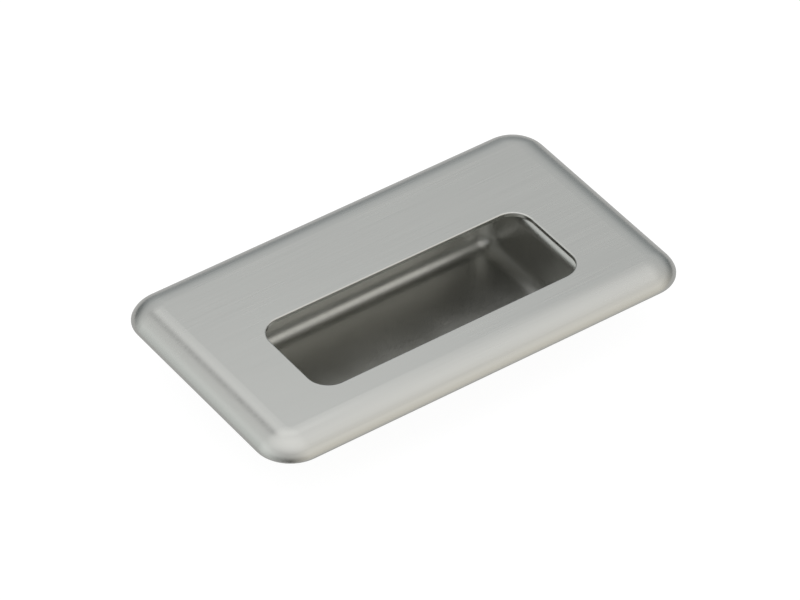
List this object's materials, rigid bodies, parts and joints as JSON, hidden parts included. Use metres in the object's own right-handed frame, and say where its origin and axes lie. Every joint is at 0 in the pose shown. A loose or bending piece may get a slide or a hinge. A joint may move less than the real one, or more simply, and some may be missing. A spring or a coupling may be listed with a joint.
{
  "type": "recessed pull handle",
  "caption": "Recessed pull handle of brushed stainless sheet: a rolled-rim face plate over a drawn finger pocket, fixed by weld studs from behind.",
  "frame": {"origin": "middle of the rim's back, on the panel's surface", "axes": "+Z out of the face, X along the handle's length, +Y towards the side whose lip the fingers hook behind"},
  "size_m": [0.13, 0.0754, 0.021],
  "materials": {
    "plate_steel": "fine straight brush along the long side, satin",
    "pan_steel": "drawn sheet left dull, unpolished inside",
    "stud_steel": "rolled thread, bright"
  },
  "bodies": {
    "root": {"face_plate": "plate_steel", "pocket_pan": "pan_steel", "stud_1": "stud_steel", "stud_2": "stud_steel", "stud_3": "stud_steel", "stud_4": "stud_steel"}
  },
  "joints": []
}
